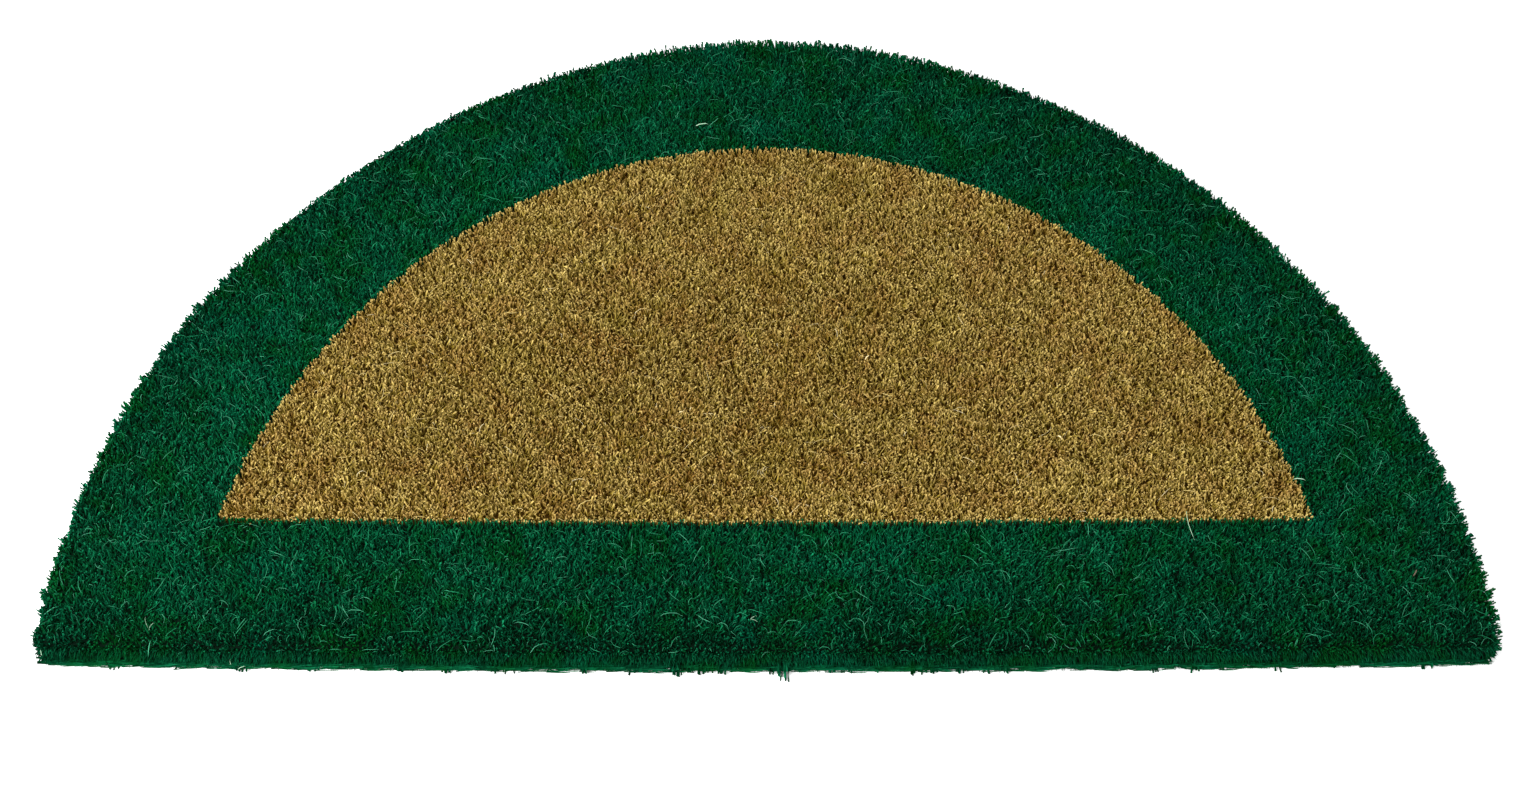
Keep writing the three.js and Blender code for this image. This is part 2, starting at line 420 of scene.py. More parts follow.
class Number:
    """A shader value that takes part in Python arithmetic: each operator adds a Math node."""

    def __init__(self, shader, socket):
        self.shader = shader
        self.socket = socket

    def math(self, operation, *values):
        node = self.shader.node("ShaderNodeMath", {"operation": operation}, dict(enumerate(values)))
        return Number(self.shader, node.outputs[0])

    def __add__(self, other):
        return self.math("ADD", self, other)

    def __sub__(self, other):
        return self.math("SUBTRACT", self, other)

    def __rsub__(self, other):
        return self.math("SUBTRACT", other, self)

    def __mul__(self, other):
        return self.math("MULTIPLY", self, other)

    def __truediv__(self, other):
        return self.math("DIVIDE", self, other)

    def __pow__(self, other):
        return self.math("POWER", self, other)

    def wave(self):
        return self.math("SINE", self)

    __radd__ = __add__
    __rmul__ = __mul__


class Shader:
    """One material's nodes, with its Principled shader as the surface."""

    def __init__(self, name, **constants):
        self.material = bpy.data.materials.new(name)
        self.material.use_nodes = True
        self.tree = self.material.node_tree
        self.tree.nodes.clear()
        self.surface = self.node("ShaderNodeBsdfPrincipled", {}, {})
        self.paint(**constants)
        self.node("ShaderNodeOutputMaterial", {}, {"Surface": self.surface.outputs[0]})

    def node(self, kind, options, inputs):
        """Adds a node: its settings first, then a value or a link for each of its sockets."""
        made = self.tree.nodes.new(kind)
        for name, value in options.items():
            setattr(made, name, value)
        for key, value in inputs.items():
            self.feed(made.inputs[key], value)
        return made

    def feed(self, socket, value):
        if isinstance(value, Number):
            value = value.socket
        if isinstance(value, bpy.types.NodeSocket):
            self.tree.links.new(value, socket)
        elif socket.type == "RGBA":
            socket.default_value = (*value[:3], 1.0)
        else:
            socket.default_value = value

    def paint(self, **inputs):
        """Feeds the surface's own sockets, with _ for a space in their names."""
        for name, value in inputs.items():
            self.feed(self.surface.inputs[name.replace("_", " ")], value)

    def attribute(self, name):
        return Number(self, self.node("ShaderNodeAttribute", {"attribute_name": name}, {}).outputs["Fac"])

    def place(self):
        return self.node("ShaderNodeTexCoord", {}, {}).outputs["Object"]

    def noise(self, scale, detail=2.0, roughness=0.55):
        inputs = {"Vector": self.place(), "Scale": scale, "Detail": detail, "Roughness": roughness}
        return Number(self, self.node("ShaderNodeTexNoise", {}, inputs).outputs["Fac"])

    def between(self, value, low, high):
        """0 at low, 1 at high, even between them and held beyond them."""
        inputs = {"Value": value, "From Min": low, "From Max": high}
        return Number(self, self.node("ShaderNodeMapRange", {}, inputs).outputs["Result"])

    def patches(self, kind):
        return self.between(self.noise(kind.scale, kind.detail), kind.low, kind.high)

    def mix(self, share, first, second, blend="MIX"):
        options = {"data_type": "RGBA", "blend_type": blend}
        return self.node("ShaderNodeMix", options, {0: share, 6: first, 7: second}).outputs[2]


# Noise in the colours: its scale and detail, and where patches set in and are full
Patches = namedtuple("Patches", "scale detail low high")
BROAD_PATCHES = Patches(17.0, 3.0, 0.38, 0.62)
ODD_PATCHES = Patches(52.0, 3.0, 0.44, 0.62)
OTHER_PATCHES = Patches(33.0, 3.0, 0.52, 0.68)
FINE_PATCHES = Patches(720.0, 2.0, 0.3, 0.7)
LOOSE_PATCHES = Patches(260.0, 2.0, 0.3, 0.7)
# What makes a fibre light, how much of the other patches shows, and between which places the painted shade of
# the roots gives way to the tips
LIGHTNESS = {"tone": 0.78, "broad": 0.07, "fine": 0.30, "less": 0.08}
OTHER_SHARE = 0.3
ROOT_TO_TIP = (0.05, 0.95)
LOOSE_LIGHTNESS = {"tone": 0.85, "fine": 0.15}
HUSK_DARK = 0.4
# Under the pile, its roots' colour sets in behind the line, and is this share of the deepest fibre's: their
# own colour darkened with painted shade
ROOTS_ROUND = (0.998, 0.994)
ROOTS_FRONT = (0.5 * MM, 1.5 * MM)
DYED_ROOTS_SHADE = 0.5
NATURAL_ROOTS_SHADE = 0.45
# The weave of the underside: its thread, its grain, how both show in colour and height, and where it ends
THREAD = 4.4 * MM
GRAIN_SCALE = 600.0
WEAVE_CONTRAST = 0.4
WEAVE_DARK = 0.5
GRAIN_HEIGHT = 0.5
WEAVE_BUMP = {"Strength": 0.6, "Distance": 0.8 * MM}
WEAVE_TOP = (0.1 * MM, 0.5 * MM)


def fibre_material(name, deep, light, odd, odd_share, other, root_shade, shade_powers):
    """Fibre: a tone for each tuft, painted shade on the roots, and patches where the dye or the husk differs
    in two ways.

    Towards the root, red, green and blue darken with painted shade, each as fast as its power says."""
    shader = Shader(name, Specular_IOR_Level=0.01)
    tone = shader.attribute("tone")
    broad, fine = shader.patches(BROAD_PATCHES), shader.patches(FINE_PATCHES)
    lightness = tone * LIGHTNESS["tone"] + broad * LIGHTNESS["broad"] + fine * LIGHTNESS["fine"]
    mixed = shader.mix(lightness - LIGHTNESS["less"], deep, light)
    mixed = shader.mix(shader.patches(ODD_PATCHES) * odd_share, mixed, odd)
    mixed = shader.mix(shader.patches(OTHER_PATCHES) * OTHER_SHARE, mixed, other)
    # Painted shade: roots darker than tips, each colour channel by its own power, a painted stand-in for
    # light bouncing between fibres
    shade = shader.between(shader.attribute("along"), *ROOT_TO_TIP) * (1 - root_shade) + root_shade
    shaded = {channel: shade**fade for channel, fade in enumerate(shade_powers)}
    shaded = shader.node("ShaderNodeCombineColor", {}, shaded).outputs[0]
    shader.paint(Base_Color=shader.mix(1.0, mixed, shaded, "MULTIPLY"), Roughness=0.9 - tone * 0.15)
    return shader.material


def dyed_material():
    colours = settings().colours
    return fibre_material(
        "dyed_fibre",
        colours.dyed_deep,
        colours.dyed_light,
        odd=colours.dyed_yellow,
        odd_share=0.6,
        other=colours.dyed_teal,
        root_shade=0.36,
        shade_powers=(1.7, 1.0, 1.15),
    )


def natural_material():
    colours = settings().colours
    return fibre_material(
        "natural_fibre",
        colours.natural_deep,
        colours.natural_light,
        odd=colours.natural_red,
        odd_share=0.3,
        other=colours.natural_olive,
        root_shade=0.30,
        shade_powers=(1.0, 1.06, 2.4),
    )


def loose_material(name, deep, light):
    """Loose fibre: only its own tone, from end to end."""
    shader = Shader(name, Specular_IOR_Level=0.1)
    tone = shader.attribute("tone")
    lightness = tone * LOOSE_LIGHTNESS["tone"] + shader.patches(LOOSE_PATCHES) * LOOSE_LIGHTNESS["fine"]
    shader.paint(Base_Color=shader.mix(lightness, deep, light), Roughness=0.8 - tone * 0.1)
    return shader.material


def backing_material():
    """A woven, natural backing under the roots of the pile, which have the colour of what they carry,
    darkened with painted shade.
    """
    colours = settings().colours
    shader = Shader("backing_and_roots", Specular_IOR_Level=0.1)
    place = shader.node("ShaderNodeSeparateXYZ", {}, {0: shader.place()})
    x, y, z = (Number(shader, place.outputs[i]) for i in range(3))
    y = y - CORNER_LINE
    rounded = ((x / MIDDLE["half_width"]) ** 2.0 + (y / MIDDLE["rise"]) ** 2.0) ** 0.5
    behind = y + MIDDLE["bow"] * (1 - (x / front_corner(MIDDLE)) ** 2.0) - MIDDLE["front"]
    natural = shader.between(rounded, *ROOTS_ROUND) * shader.between(behind, *ROOTS_FRONT)
    # Painted shade: the roots are darker than the deepest fibre they carry
    dyed_roots = darker(colours.dyed_deep, DYED_ROOTS_SHADE)
    roots = shader.mix(natural, dyed_roots, darker(colours.natural_deep, NATURAL_ROOTS_SHADE))
    weave = (x * (TURN / THREAD)).wave() * (y * (TURN / THREAD)).wave() * 0.5 + 0.5
    grain = shader.noise(GRAIN_SCALE, detail=3.0)
    lightness = (weave + grain) * WEAVE_CONTRAST
    under = shader.mix(lightness, darker(colours.backing, WEAVE_DARK), colours.backing)
    top = shader.between(z, *(LOW.z + height for height in WEAVE_TOP))
    bump = shader.node("ShaderNodeBump", {}, {**WEAVE_BUMP, "Height": weave + grain * GRAIN_HEIGHT})
    shader.paint(Base_Color=shader.mix(top, under, roots), Roughness=0.9, Normal=bump.outputs[0])
    return shader.material


def darker(shade, share):
    return tuple(part * share for part in shade)


def front_corner(shape):
    """How far from the middle a half round's front ends."""
    return shape["half_width"] * math.sqrt(1 - (shape["front"] / shape["rise"]) ** 2)


def slope_to_edge(x, y, shape):
    """For points in plan: how far inside a half round they are, and the direction out of it."""
    half_width, rise, corner = shape["half_width"], shape["rise"], shape["corner"]
    share = np.maximum(np.hypot(x / half_width, y / rise), 1e-6)
    round_x = x / half_width**2 / share
    round_y = y / rise**2 / share
    steep = np.maximum(np.hypot(round_x, round_y), 1e-6)
    to_round = (1 - share) / steep
    to_front = y - shape["front"] + shape["bow"] * (1 - (x / front_corner(shape)) ** 2)
    near_round = np.maximum(corner - to_round, 0)
    near_front = np.maximum(corner - to_front, 0)
    cornered = (near_round > 0) & (near_front > 0)
    inside = np.where(cornered, corner - np.hypot(near_round, near_front), np.minimum(to_round, to_front))
    by_front = np.where(cornered, near_front, (to_front < to_round) * 1.0)
    by_round = np.where(cornered, near_round, (to_front >= to_round) * 1.0)
    out = np.stack([by_round * round_x / steep, by_round * round_y / steep - by_front], 1)
    return inside, out / np.maximum(np.linalg.norm(out, axis=1, keepdims=True), 1e-9)


def outline(inset, places):
    """Points on the mat's outline, moved in by inset: each place is a share of the way round, from 0 to 1."""
    angle = np.linspace(0, TURN, OUTLINE_RAYS + 1)
    centre = np.array([0.0, ROUND_RISE * OUTLINE_CENTRE])
    ray = np.stack([np.cos(angle), np.sin(angle)], 1)
    near, far = np.zeros(len(ray)), np.full(len(ray), 2 * HALF_WIDTH)
    for _ in range(OUTLINE_HALVINGS):
        half = (near + far) / 2
        at = centre + ray * half[:, None]
        within = slope_to_edge(at[:, 0], at[:, 1], MAT)[0] > inset
        near, far = np.where(within, half, near), np.where(within, far, half)
    dense = centre + ray * near[:, None]
    run = np.concatenate([[0.0], np.cumsum(np.linalg.norm(np.diff(dense, axis=0), axis=1))])
    return np.column_stack([np.interp(places * run[-1], run, dense[:, axis]) for axis in (0, 1)])


OUTLINE_LENGTH = np.linalg.norm(np.diff(outline(0.0, np.linspace(0, 1, 2000)), axis=0), axis=1).sum()


def rim_of_solid():
    """The solid's own rim: for angles round the mat, how far its locks stand out of the smooth outline."""
    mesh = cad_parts["coir_mat"].data
    points = np.empty(len(mesh.vertices) * 3)
    mesh.vertices.foreach_get("co", points)
    points = points.reshape(-1, 3)
    points = points[np.abs(points[:, 2] - LOW.z - RIM_HEIGHT) < RIM_BAND]
    x, y = points[:, 0], points[:, 1] - CORNER_LINE
    angle = np.arctan2(y / ROUND_RISE, x / HALF_WIDTH)
    inside, _ = slope_to_edge(x, y, MAT)
    order = np.argsort(angle)
    return angle[order], -inside[order]


RIM_ANGLES, RIM_REACHES = rim_of_solid()
EVEN_REACHES = np.array([RIM_REACHES[np.abs(RIM_ANGLES - angle) < RIM_WINDOW].mean() for angle in RIM_ANGLES])


def rim_reach(x, y, lock_share):
    """How far the solid's rim stands out at these places, with so large a share of its single locks."""
    angle = np.arctan2(y / ROUND_RISE, x / HALF_WIDTH)
    turned = np.degrees(angle) % 360
    locks, even = np.interp(angle, RIM_ANGLES, RIM_REACHES), np.interp(angle, RIM_ANGLES, EVEN_REACHES)
    reach = even + lock_share * (locks - even)
    for stray in STRAYS:
        reach = reach + stray["out"] * np.exp(-(((turned - stray["at"]) / stray["spread"]) ** 2))
    return reach


def rim_teeth(points, inside, out):
    """At the round rim tufts stand together in teeth: how far each strays along the rim, and reaches out."""
    pile = settings().pile
    at = points + out * np.reshape(inside, (-1, 1))
    middle, lot = clumps(at, pile.tooth, SEEDS["teeth"])
    along = np.column_stack([-out[:, 1], out[:, 0]])
    aside = ((middle - at) * along).sum(axis=1)
    # Round the back the teeth are finer than at the sides
    ragged = RAGGED_BACK + (1 - RAGGED_BACK) * (at[:, 0] / HALF_WIDTH) ** 2
    reach = rim_reach(at[:, 0], at[:, 1], ragged) + ragged * (lot[:, 1] - MIDDLING_TOOTH) * pile.tooth_depth
    return along * (aside * pile.tooth_pull * np.sqrt(ragged))[:, None], reach


def jittered_grid(pitch, seed, jitter):
    """Points spread evenly over the mat's box, in rows that are half a step apart."""
    random = np.random.default_rng(seed)
    row_step = pitch * math.sqrt(3) / 2
    columns = int(2 * HALF_WIDTH / pitch) + 3
    rows = int((ROUND_RISE + FRONT_BOW) / row_step) + 3
    column, row = np.meshgrid(np.arange(columns), np.arange(rows))
    x = (column + 0.5 * (row % 2)) * pitch - HALF_WIDTH - pitch
    y = row * row_step - FRONT_BOW - row_step
    return np.stack([x, y], 2) + random.uniform(-jitter, jitter, (rows, columns, 2)) * pitch


def clumps(points, pitch, seed):
    """Each point's clump: its middle, and four random numbers from 0 to 1 that the clump shares."""
    middles = jittered_grid(pitch, seed, CLUMP_JITTER)
    rows, columns, _ = middles.shape
    lots = np.random.default_rng(seed + 1).random((rows, columns, 4))
    row = np.round((points[:, 1] + FRONT_BOW) / (pitch * math.sqrt(3) / 2) + 1).astype(int)
    column = np.round((points[:, 0] + HALF_WIDTH) / pitch + 1).astype(int)
    best = np.full(len(points), np.inf)
    middle = np.zeros((len(points), 2))
    lot = np.zeros((len(points), 4))
    for down in (-1, 0, 1):
        for aside in (-1, 0, 1):
            r = np.clip(row + down, 0, rows - 1)
            c = np.clip(column + aside, 0, columns - 1)
            apart = np.linalg.norm(middles[r, c] - points, axis=1)
            nearer = apart < best
            best[nearer] = apart[nearer]
            middle[nearer] = middles[r, c][nearer]
            lot[nearer] = lots[r, c][nearer]
    return middle, lot


def lumps(x, y):
    """The pile's gentle lumps and hollows, from 0 to 1, as in the solid."""
    total = 0
    for wave in LUMP_WAVES:
        bend_x = wave["bend"] * np.sin(TURN * y / (wave["y"] * LUMP_BEND_LENGTH))
        bend_y = wave["bend"] * np.sin(TURN * x / (wave["x"] * LUMP_BEND_LENGTH))
        height = np.sin(TURN * x / wave["x"] + bend_x) * np.sin(TURN * y / wave["y"] + bend_y)
        total = total + wave["share"] * (0.5 + 0.5 * height)
    return total


def faces_front(out):
    """Whether these directions out of the mat belong to its front."""
    return out[:, 1] < FRONT_FACING


def tuft_tones(mix, chance, clump=0.0):
    """A tone for each tuft, from two lots of its own and one of its clump."""
    own = mix.own * chance[:, 2] ** mix.own_power
    return own + mix.clump * clump + mix.light * chance[:, 3] ** mix.light_power


def tuft_radii(chance):
    return settings().pile.root * (LEAST_WIDTH + WIDTH_SPREAD * chance[:, 1])


def tuft_paths(roots, tips, turned):
    """Paths from root to tip, or for a turned tuft from tip to root, so that its broad end is outside."""
    turned = turned[:, None]
    return np.stack([np.where(turned, tips, roots), np.where(turned, roots, tips)], 1)


def standing_pile(dyed):
    """Paths, root radii and tones of the tufts in the dyed border or in the natural middle."""
    pile = settings().pile
    points = jittered_grid(pile.pitch, SEEDS["tufts"], TUFT_JITTER).reshape(-1, 2)
    random = np.random.default_rng(SEEDS["pile"])
    inside, out = slope_to_edge(points[:, 0], points[:, 1], MAT)
    to_line = slope_to_edge(points[:, 0], points[:, 1], MIDDLE)[0]
    in_middle = to_line + random.normal(0, LINE["uneven"], len(points)) > LINE["inset"]
    chance = random.random((len(points), 4))
    stray = random.normal(0, 1, (len(points), 2))
    keep = (inside > RIM["edge"]) & (in_middle != dyed)
    points, inside, out, to_line = points[keep], inside[keep], out[keep], np.abs(to_line[keep])
    chance, stray = chance[keep], stray[keep]
    middle, lot = clumps(points, pile.clump, SEEDS["clumps"])
    clump_heading = TURN * lot[:, 2]
    leaning = np.column_stack([np.cos(clump_heading), np.sin(clump_heading)]) * lot[:, 3:]
    tips = points + (middle - points) * pile.pull * (0.5 + lot[:, :1])
    # Tufts lean less beside the line where the dye ends, which keeps that line crisp, and at the rim
    near_rim = np.clip(1 - (inside - RIM["edge"]) / pile.flare_zone, 0, 1) ** RIM["power"]
    freedom = np.clip(to_line / LINE["calm"], LINE["least_lean"], 1) * (1 - RIM["hold"] * near_rim)
    lean = pile.lean if dyed else pile.lean * NATURAL_LEAN
    tips = tips + (stray * lean + leaning * pile.clump_lean) * freedom[:, None]
    by_line = to_line < LINE["width"]
    if dyed:
        tips[:, 1] += LINE_OVERLAP * (by_line & (points[:, 1] < MIDDLE["front"]))
    # Near the rim nothing holds the pile from outside, so it leans out as far as the solid's locks
    fronts = faces_front(out)
    near_round = np.where(fronts, 0, near_rim)
    shift, teeth = rim_teeth(points, inside, out)
    tips = tips + shift * near_round[:, None]
    reach = np.where(fronts, pile.front_flare, pile.flare + teeth)
    tips = tips + out * (near_rim * reach)[:, None]
    height = THICKNESS + TOP_OVER - LUMP_DEPTH * lumps(points[:, 0], points[:, 1])
    uneven = CLUMP_UNEVEN * lot[:, 1] ** 2 + OWN_UNEVEN * chance[:, 0] ** 2
    height = height - pile.uneven * uneven * freedom
    height = height - near_rim**2 * np.where(fronts, RIM["front_drop"], RIM["round_drop"])
    # A cut tuft has its broad end up
    cut_share = pile.cut_dyed + RIM_CUT * near_rim if dyed else pile.cut_natural
    cut = random.random(len(points)) < cut_share + LINE_CUT * by_line
    roots = np.column_stack([points, np.full(len(points), ROOTS_TOP - ROOT_DEPTH)])
    radius = tuft_radii(chance) * np.where(cut, CUT_WIDTH + CUT_RIM_WIDTH * near_round, 1)
    tone = tuft_tones(TOP_TONES, chance, lot[:, 0])
    # Painted light lightens the natural tufts along the line, and the dyed ones there are darker
    tone = tone + by_line * (LINE_DYED_TONE if dyed else LINE_NATURAL_PAINTED_LIGHT)
    # For the border, this broad tone is painted shade
    broad = border_painted_shade(points, inside) if dyed else middle_tone(points)
    return tuft_paths(roots, np.column_stack([tips, height]), cut), radius, tone + broad


def middle_tone(points):
    """The husk is darker in the middle of the mat and lighter by its front."""
    across = points[:, 0] / HALF_WIDTH
    from_dark = np.hypot(across - MIDDLE_TONE["x"], (points[:, 1] - MIDDLE_TONE["y"]) / MIDDLE_TONE["length"])
    dark = np.exp(-((from_dark / MIDDLE_TONE["spread"]) ** 2))
    light = np.exp(-(points[:, 1] - MIDDLE["front"]) / MIDDLE_FRONT_FADE) * (1 + across)
    return MIDDLE_TONE["base"] - MIDDLE_TONE["dark"] * dark + MIDDLE_FRONT_TONE * light


def border_painted_shade(points, inside):
    """Painted shade: the border is darker towards the rim, the front and the back, and more so to the right.
    """
    right = np.clip(points[:, 0] / HALF_WIDTH - BORDER_RIGHT_FROM, 0, 1)
    up = points[:, 1] / ROUND_RISE
    at_rim = np.exp(-inside / BORDER_RIM_FADE)
    at_front = np.exp(-np.maximum(points[:, 1], 0) / BORDER_FRONT_FADE)
    at_back = np.clip((up - BORDER_BACK_FROM) / (BORDER_BACK_FULL - BORDER_BACK_FROM), 0, 1)
    front = (BORDER_PAINTED_SHADE["front"] + BORDER_RIGHT_PAINTED_SHADE["front"] * right) * at_front
    back = (BORDER_PAINTED_SHADE["back"] + BORDER_RIGHT_PAINTED_SHADE["back"] * right) * at_back
    return BORDER_PAINTED_SHADE["base"] - BORDER_PAINTED_SHADE["rim"] * at_rim - front - back


def side_rows(seed, front):
    """Tufts in rows up the side: places on the outline, the direction out, heights, lots and strays."""
    pile = settings().pile
    random = np.random.default_rng(seed)
    heights = np.arange(LOWEST_ROW, HIGHEST_ROW, pile.row)
    count = int(OUTLINE_LENGTH / pile.pitch)
    places = (np.arange(count)[None] + random.uniform(0, 1, (len(heights), count))) / count
    heights = np.repeat(heights, count) + random.uniform(-0.5, 0.5, places.size) * pile.row
    at = outline(0.0, places.ravel())
    _, out = slope_to_edge(at[:, 0], at[:, 1], MAT)
    keep = faces_front(out) == front
    at, out, heights = at[keep], out[keep], np.maximum(heights[keep], LOWEST_TUFT)
    return at, out, heights, random.random((len(at), 4)), random.normal(0, 1, (len(at), 2))


def side_roots(at, out, heights):
    """Where tufts up the side are rooted: inside the mat, low, and clear of the backing's underside."""
    root_heights = heights * SIDE_ROOT_SHARE + SIDE_ROOT_LIFT
    root_heights = np.clip(root_heights, SIDE_ROOT_LOWEST, ROOTS_TOP - SIDE_ROOT_COVER)
    return np.column_stack([at - out * SIDE_ROOT_DEPTH, root_heights])


def round_side_pile():
    """Paths, root radii and tones of the tufts up the round side, gathered into locks."""
    side = ROUND_SIDE
    at, out, heights, chance, stray = side_rows(SEEDS["round side"], False)
    share = np.interp(heights, SIDE_HEIGHTS, ROUND_LOCK_SHARE)
    shift, teeth = rim_teeth(at, 0, out)
    ends = np.abs(at[:, 0] / HALF_WIDTH) ** side["ends_power"]
    uneven = (chance[:, 0] - side["middling"]) * (side["uneven"] + side["uneven_ends"] * ends) * MM
    reach = share * teeth - np.interp(heights, SIDE_HEIGHTS, ROUND_SET_BACK) + uneven
    along = np.column_stack([-out[:, 1], out[:, 0]])
    tips = at + shift + out * reach[:, None] + along * stray[:, :1] * side["aside"]
    cut = chance[:, 1] < ROUND_CUT
    paths = tuft_paths(side_roots(at, out, heights), np.column_stack([tips, heights]), cut)
    radius = settings().pile.root * np.where(cut, ROUND_CUT_WIDTH, ROUND_WIDTH)
    return paths, radius, tuft_tones(ROUND_TONES, chance)


def front_side_pile():
    """Paths, root radii and tones of the tufts up the front, splayed in clumps as on the top."""
    pile = settings().pile
    at, out, heights, chance, stray = side_rows(SEEDS["front side"], True)
    upright = np.column_stack([at[:, 0], heights])
    middle, lot = clumps(upright, pile.clump, SEEDS["front clumps"])
    shift = (middle - upright) * pile.pull + stray * FRONT_STRAY
    at_foot = heights < FRONT_FOOT
    uneven = np.where(at_foot, FRONT_FOOT_UNEVEN, FRONT_UPPER_UNEVEN) * MM
    reach = (chance[:, 0] - 0.5) * uneven + np.interp(heights, SIDE_HEIGHTS, FRONT_REACH)
    # Here and there a clump at the foot hangs out a little
    hangs = (lot[:, 1] > HANGING_FROM) & at_foot
    reach = reach + hangs * (HANGING_LEAST + lot[:, 3]) * HANGING_REACH * MM
    own_reach = 1 - HANGING_OWN + HANGING_OWN * chance[:, 3]
    for tuft in HANGING_TUFTS:
        near = np.clip(2 - 2 * np.abs(at[:, 0] - tuft["x"]) / tuft["half_width"], 0, 1)
        near = near * (heights < HANGING_TOP)
        reach = reach + near * tuft["reach"] * own_reach
        hangs |= near > HANGING_BROAD_END
    tip_heights = np.maximum(heights + shift[:, 1] - FRONT_DROOP, FRONT_LOWEST)
    tips = at + out * reach[:, None]
    tips = np.column_stack([tips[:, 0] + shift[:, 0], tips[:, 1], tip_heights])
    # Painted shade darkens the front, and painted light from the floor lightens its foot
    tone = tuft_tones(FRONT_TONES, chance, lot[:, 0]) + FRONT_TONE
    tone = tone + LOW_TONE * np.clip(1 - heights / LOW_TONE_TOP, 0, 1)
    radius = tuft_radii(chance) * np.where(hangs, HANGING_WIDTH, 1)
    return tuft_paths(side_roots(at, out, heights), tips, hangs), radius, tone


def curl_paths(starts, heading, run, bend, height, dive):
    """Paths of fibres that lie on the pile: both ends dive into it, and between them they curl sideways."""
    share = np.linspace(0, 1, CURL_POINTS)
    turned = heading[:, None] + bend[:, None] * (share - 0.5)
    step = run[:, None] / (CURL_POINTS - 1)
    moves = np.stack([np.cos(turned) * step, np.sin(turned) * step], axis=2)
    flat = starts[:, None] + np.cumsum(moves, axis=1) - moves[:, :1]
    heights = height[:, None] - dive * (2 * share - 1) ** DIVE_POWER
    return np.concatenate([flat, heights[:, :, None]], axis=2)


def loose_pile(dyed, count, seed):
    """Paths, radii and tones of loose fibres on the border or on the middle."""
    loose = settings().loose
    random = np.random.default_rng(seed)
    tries = count * LOOSE_TRIES
    starts = random.uniform((-HALF_WIDTH, -FRONT_BOW), (HALF_WIDTH, ROUND_RISE), (tries, 2))
    run = loose.shortest + (loose.longest - loose.shortest) * random.random(tries) ** LENGTH_POWER
    bend = random.normal(0, LOOSE_BEND, tries) + random.choice(LOOSE_CURLS, tries)
    top = THICKNESS - LUMP_DEPTH * lumps(starts[:, 0], starts[:, 1])
    top = top - random.uniform(*LOOSE_DEPTHS, tries) * MM
    paths = curl_paths(starts, random.uniform(0, TURN, tries), run, bend, top, LOOSE_DIVE)
    flat = paths[:, :, :2].reshape(-1, 2)
    on_mat = slope_to_edge(flat[:, 0], flat[:, 1], MAT)[0].reshape(tries, -1).min(axis=1) > LOOSE_FROM_EDGE
    in_middle = slope_to_edge(flat[:, 0], flat[:, 1], MIDDLE)[0].reshape(tries, -1)
    fits = on_mat & (in_middle.max(axis=1) < LOOSE_OVER_LINE if dyed else in_middle.min(axis=1) > 0)
    chosen = np.flatnonzero(fits)[:count]
    radius = loose.thick * random.uniform(*LOOSE_WIDTHS, len(chosen))
    return paths[chosen], radius, random.random(len(chosen)) ** LOOSE_TONE_POWER


def rim_fibres(count, seed):
    """Paths, radii and tones of loose fibres that stick out of the round edge and along the front."""
    random = np.random.default_rng(seed)
    at = outline(RIM_START, random.random(count))
    _, out = slope_to_edge(at[:, 0], at[:, 1], MAT)
    fronts = faces_front(out)
    sides = random.choice((-1, 1), count)
    aside = sides * np.where(fronts, random.uniform(*RIM_FRONT_TURNS, count), 0.0)
    aside = np.where(fronts, aside, random.normal(0, RIM_ROUND_TURN, count))
    heading = np.arctan2(out[:, 1], out[:, 0]) + aside
    run = random.uniform(*RIM_LENGTHS, count) * MM
    height = random.uniform(*RIM_HEIGHTS, count) * MM
    paths = curl_paths(at, heading, run, random.normal(0, RIM_BEND, count), height, RIM_DIVE)
    radius = settings().loose.thick * random.uniform(*RIM_WIDTHS, count)
    return paths, radius, random.random(count) ** RIM_TONE_POWER


def foot_fibres(layer, seed):
    """Paths, radii and tones of one layer of the matted fibres that run along the foot of the front."""
    random = np.random.default_rng(seed)
    count = layer["count"]
    x = random.uniform(-1, 1, count) * (HALF_WIDTH - FOOT_END)
    height = random.uniform(*layer["heights"], count) * MM
    run = random.uniform(*FOOT_LENGTHS, count) * MM
    bend = random.uniform(*FOOT_BENDS, count)
    edge = -FRONT_BOW * (1 - (x / HALF_WIDTH) ** 2)
    wander = random.uniform(-0.5, 0.5, FOOT_WAVES) @ np.sin(np.outer(FOOT_TURNS, x) + FOOT_TURNS[:, None])
    depth = random.uniform(*layer["depths"], count) * MM
    reach = np.interp(height, SIDE_HEIGHTS, FRONT_REACH) + wander * FOOT_WANDER - depth
    # A fibre's bend carries its middle outwards by an eighth of its length for each radian
    starts = np.column_stack([x - run / 2, edge - reach + run * bend / 8])
    heading = random.normal(0, FOOT_TURN, count)
    paths = curl_paths(starts, heading, run, bend, height, random.normal(0, FOOT_DIVE, (count, 1)))
    radius = random.uniform(*FOOT_WIDTHS, count) * layer["thick"] * MM
    return paths, radius, random.uniform(*layer["tones"], count)


def placed_fibres(kind):
    """Paths, radii and tones of the single fibres of one kind."""
    rows = [fibre[1:] for fibre in PLACED if fibre.kind == kind]
    x, y, up, heading, run, bend, thick = np.array(rows).T
    paths = curl_paths(np.column_stack([x, y]) * MM, heading, run * MM, bend, up * MM, PLACED_DIVE)
    return paths, thick * MM, np.full(len(rows), PLACED_TONE)


